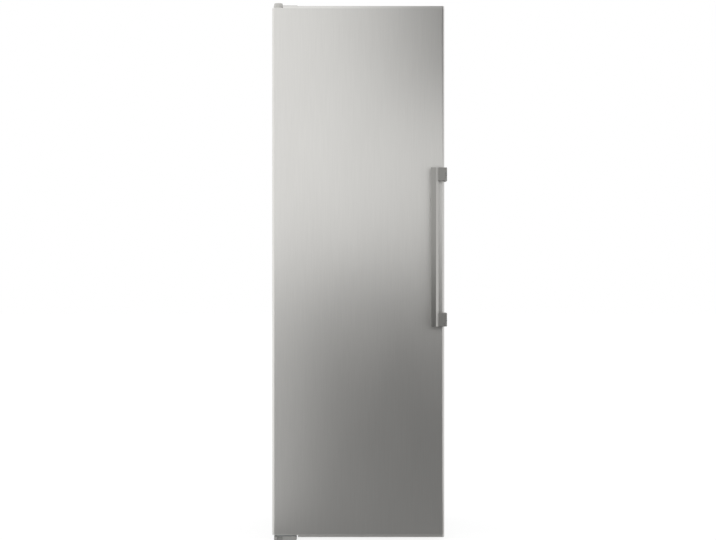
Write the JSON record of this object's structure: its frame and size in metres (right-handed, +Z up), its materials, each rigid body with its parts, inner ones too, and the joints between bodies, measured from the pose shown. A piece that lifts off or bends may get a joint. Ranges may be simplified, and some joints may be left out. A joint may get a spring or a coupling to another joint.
{
  "type": "single door refrigerator",
  "caption": "Tall free-standing refrigerator with a left-hinged stainless door, vertical bar handle, glass shelves, drawers, door racks and a wire condenser.",
  "frame": {"origin": "on the floor, under the middle of the whole outline (handle bracket to hinge side, handle bar to wall spacers)", "axes": "+Z up, +X towards the handle side, +Y from the door to the wall"},
  "size_m": [0.6026, 0.698, 1.86],
  "materials": {
    "brushed_stainless": "satin",
    "grey_moulding": "satin",
    "anodised_bar": "satin",
    "silver_paint": "satin",
    "zinc_steel": "satin",
    "screw_steel": "satin",
    "white_liner": "gloss",
    "white_moulding": "satin",
    "poured_foam": "matte",
    "tempered_glass": "gloss",
    "clear_plastic": "gloss",
    "lamp_diffuser": "satin",
    "gasket_vinyl": "matte",
    "magnet_rubber": "matte",
    "bearing_nylon": "satin",
    "black_enamel": "satin",
    "black_plastic": "satin",
    "black_rubber": "matte",
    "copper_pipe": "satin",
    "bare_aluminium": "satin"
  },
  "bodies": {
    "cabinet": {"left_side_panel": "silver_paint", "right_side_panel": "silver_paint", "top_panel": "silver_paint", "rear_panel": "zinc_steel", "compressor_bay_panel": "zinc_steel", "base_panel": "zinc_steel", "front_crossbars": "silver_paint", "inner_liner": "white_liner", "hinge_reinforcement": "zinc_steel", "cabinet_foam": "poured_foam", "shelf_glasses": "tempered_glass", "shelf_trims": "white_moulding", "air_duct_cover": "white_moulding", "fan_motor": "black_plastic", "evaporator": "bare_aluminium", "control_panel": "white_moulding", "lamp_cover": "lamp_diffuser", "top_hinge_bracket": "zinc_steel", "top_hinge_cover": "grey_moulding", "bottom_hinge_bracket": "zinc_steel", "bottom_hinge_cover": "grey_moulding", "hinge_screws": "screw_steel", "compressor_tray": "zinc_steel", "roller_axles": "screw_steel", "compressor": "black_enamel", "compressor_grommets": "black_rubber", "terminal_cover": "black_plastic", "evaporation_tray": "black_plastic", "drain_hose": "white_moulding", "copper_pipework": "copper_pipe", "condenser_tube": "black_enamel", "condenser_wires": "black_enamel", "condenser_clips": "black_plastic"},
    "door": {"door_skin": "brushed_stainless", "door_top_cap": "grey_moulding", "door_bottom_cap": "grey_moulding", "door_liner": "white_liner", "door_foam": "poured_foam", "door_gasket": "gasket_vinyl", "magnet_strips": "magnet_rubber", "hinge_bushes": "bearing_nylon", "handle_bar": "anodised_bar", "handle_brackets": "anodised_bar", "handle_screws": "screw_steel"},
    "upper_rack": {"door_rack_upper": "clear_plastic"},
    "middle_rack": {"door_rack_middle": "clear_plastic"},
    "lower_rack": {"door_rack_lower": "clear_plastic"},
    "bottle_bin": {"bottle_rack": "clear_plastic"},
    "pull_out_shelf": {"pull_out_shelf_glass": "tempered_glass", "pull_out_shelf_trims": "white_moulding"},
    "humidity_knob": {"humidity_slider": "white_moulding"},
    "crisper": {"lower_crisper": "clear_plastic"},
    "chill_drawer": {"upper_drawer": "clear_plastic"},
    "fan": {"fan_impeller": "white_moulding"},
    "temperature_key": {"temperature_button": "grey_moulding"},
    "fast_cool_key": {"fast_cool_button": "grey_moulding"},
    "left_roller": {"left_rear_roller": "black_plastic"},
    "right_roller": {"right_rear_roller": "black_plastic"},
    "left_foot": {"left_front_foot": "black_plastic"},
    "right_foot": {"right_front_foot": "black_plastic"}
  },
  "joints": [
    {"name": "door_hinge", "type": "hinge", "parent": "cabinet", "child": "door", "pos_m": [-0.28025, -0.279, 0.014], "axis": [0, 0, -1], "range_deg": [0, 120]},
    {"name": "upper_rack_lift", "type": "slide", "parent": "door", "child": "upper_rack", "axis": [0, 0, 1], "range_m": [0, 0.025]},
    {"name": "middle_rack_lift", "type": "slide", "parent": "door", "child": "middle_rack", "axis": [0, 0, 1], "range_m": [0, 0.025]},
    {"name": "lower_rack_lift", "type": "slide", "parent": "door", "child": "lower_rack", "axis": [0, 0, 1], "range_m": [0, 0.025]},
    {"name": "bottle_bin_lift", "type": "slide", "parent": "door", "child": "bottle_bin", "axis": [0, 0, 1], "range_m": [0, 0.025]},
    {"name": "pull_out_shelf_slide", "type": "slide", "parent": "cabinet", "child": "pull_out_shelf", "axis": [0, -1, 0], "range_m": [0, 0.12]},
    {"name": "chill_drawer_slide", "type": "slide", "parent": "cabinet", "child": "chill_drawer", "axis": [0, -1, 0], "range_m": [0, 0.2]},
    {"name": "crisper_slide", "type": "slide", "parent": "cabinet", "child": "crisper", "axis": [0, -1, 0], "range_m": [0, 0.15]},
    {"name": "humidity_knob_slide", "type": "slide", "parent": "cabinet", "child": "humidity_knob", "axis": [1, 0, 0], "range_m": [-0.02, 0.02]},
    {"name": "fan_spin", "type": "hinge", "parent": "cabinet", "child": "fan", "pos_m": [-0.00375, 0.246, 1.63], "axis": [0, 1, 0], "continuous": true},
    {"name": "temperature_key_press", "type": "slide", "parent": "cabinet", "child": "temperature_key", "axis": [0, 1, 0], "range_m": [0, 0.001], "stiffness_N_per_m": 300, "springref_m": -0.001},
    {"name": "fast_cool_key_press", "type": "slide", "parent": "cabinet", "child": "fast_cool_key", "axis": [0, 1, 0], "range_m": [0, 0.001], "stiffness_N_per_m": 300, "springref_m": -0.001},
    {"name": "left_roller_spin", "type": "hinge", "parent": "cabinet", "child": "left_roller", "pos_m": [-0.26575, 0.286, 0.012], "axis": [1, 0, 0], "continuous": true},
    {"name": "right_roller_spin", "type": "hinge", "parent": "cabinet", "child": "right_roller", "pos_m": [0.25825, 0.286, 0.012], "axis": [1, 0, 0], "continuous": true},
    {"name": "left_foot_screw", "type": "slide", "parent": "cabinet", "child": "left_foot", "axis": [0, 0, -1], "range_m": [0, 0.015]},
    {"name": "right_foot_screw", "type": "slide", "parent": "cabinet", "child": "right_foot", "axis": [0, 0, -1], "range_m": [0, 0.015]}
  ],
  "couplings": [
    {"joint": "pull_out_shelf_slide", "follows": "door_hinge", "m_per_rad": 0.05727},
    {"joint": "chill_drawer_slide", "follows": "door_hinge", "m_per_rad": 0.09545},
    {"joint": "crisper_slide", "follows": "door_hinge", "m_per_rad": 0.07158}
  ]
}
